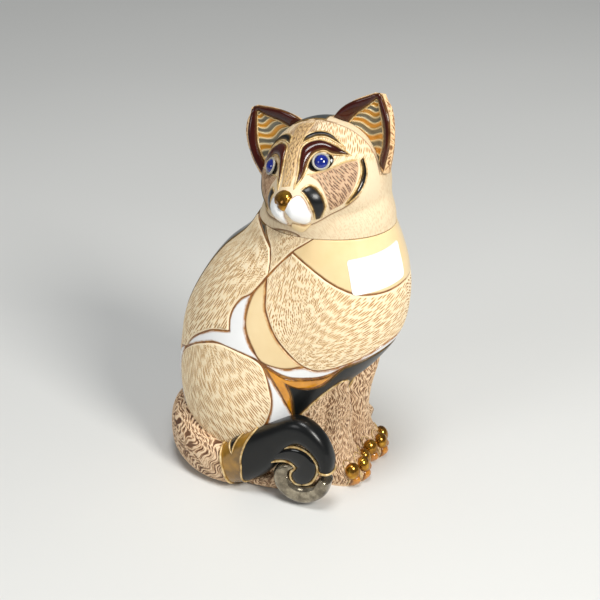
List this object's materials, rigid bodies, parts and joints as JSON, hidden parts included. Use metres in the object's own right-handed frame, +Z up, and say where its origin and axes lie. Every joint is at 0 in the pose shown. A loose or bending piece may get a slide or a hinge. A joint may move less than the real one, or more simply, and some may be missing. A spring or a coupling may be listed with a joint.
{
  "type": "ceramic cat figurine",
  "caption": "Seated cat figurine of hollow cast clay with its head turned over one shoulder, tail curled at its side, and raised enamel cells on its surface.",
  "frame": {"origin": "on the underside of the base, in the cat's middle plane, below the chest", "axes": "+Z up; the cat's body faces -Y; its right side, where the head looks and the tail curls, is -X"},
  "size_m": [0.081, 0.1074, 0.1779],
  "materials": {
    "fired_clay": "unglazed, brown-gold stain in the carved lines",
    "carved_cream_fur": "carved strokes under a cream stain",
    "carved_brown_fur": "deeply carved strokes under a brown stain",
    "cream_enamel": "smooth satin enamel",
    "white_enamel": "glossy enamel",
    "black_enamel": "satin to glossy enamel",
    "mustard_enamel": "glossy translucent enamel",
    "red_brown_enamel": "glossy enamel",
    "striped_enamel": "gold and grey stripes between raised cream lines",
    "blue_enamel": "glossy domed enamel",
    "gold_lustre": "polished metallic lustre",
    "platinum_lustre": "worn metallic lustre",
    "label_paper": "plain coated paper, blank"
  },
  "bodies": {
    "root": {"torso": "fired_clay", "head": "carved_cream_fur", "left_ear": "carved_brown_fur", "right_ear": "carved_brown_fur", "left_ear_rim": "red_brown_enamel", "right_ear_rim": "red_brown_enamel", "left_ear_lining": "striped_enamel", "right_ear_lining": "striped_enamel", "left_foreleg": "carved_brown_fur", "right_foreleg": "carved_brown_fur", "left_toe_caps": "gold_lustre", "right_toe_caps": "gold_lustre", "left_hind_paw": "carved_brown_fur", "right_hind_paw": "carved_brown_fur", "tail_root": "carved_brown_fur", "tail_band": "mustard_enamel", "tail_arch": "black_enamel", "tail_tip": "platinum_lustre", "curl_inlay": "black_enamel", "crown_stripe": "black_enamel", "left_eye": "blue_enamel", "right_eye": "blue_enamel", "nose": "gold_lustre", "left_muzzle_pad": "white_enamel", "right_muzzle_pad": "white_enamel", "chin_pad": "cream_enamel", "forehead_panel": "carved_brown_fur", "left_brow": "black_enamel", "right_brow": "black_enamel", "left_eye_mask": "red_brown_enamel", "right_eye_mask": "red_brown_enamel", "left_cheek_panel": "carved_brown_fur", "right_cheek_panel": "carved_brown_fur", "left_cheek_crescent": "black_enamel", "right_cheek_crescent": "black_enamel", "left_whisker_band": "black_enamel", "right_whisker_band": "black_enamel", "bib": "cream_enamel", "chest_panel": "carved_cream_fur", "left_crescent": "cream_enamel", "right_crescent": "cream_enamel", "left_flank_inlay": "white_enamel", "right_flank_inlay": "white_enamel", "left_shoulder_panel": "carved_cream_fur", "right_shoulder_panel": "carved_cream_fur", "left_haunch_panel": "carved_cream_fur", "right_haunch_panel": "carved_cream_fur", "left_haunch_inlay": "white_enamel", "right_haunch_inlay": "white_enamel", "belly_band": "white_enamel", "left_gold_gusset": "mustard_enamel", "right_gold_gusset": "mustard_enamel", "left_black_gusset": "black_enamel", "right_black_gusset": "black_enamel", "left_neck_wedge": "carved_cream_fur", "right_neck_wedge": "carved_cream_fur", "left_haunch_rim": "white_enamel", "right_haunch_rim": "white_enamel", "spine_stripe": "black_enamel", "paper_label": "label_paper"}
  },
  "joints": []
}
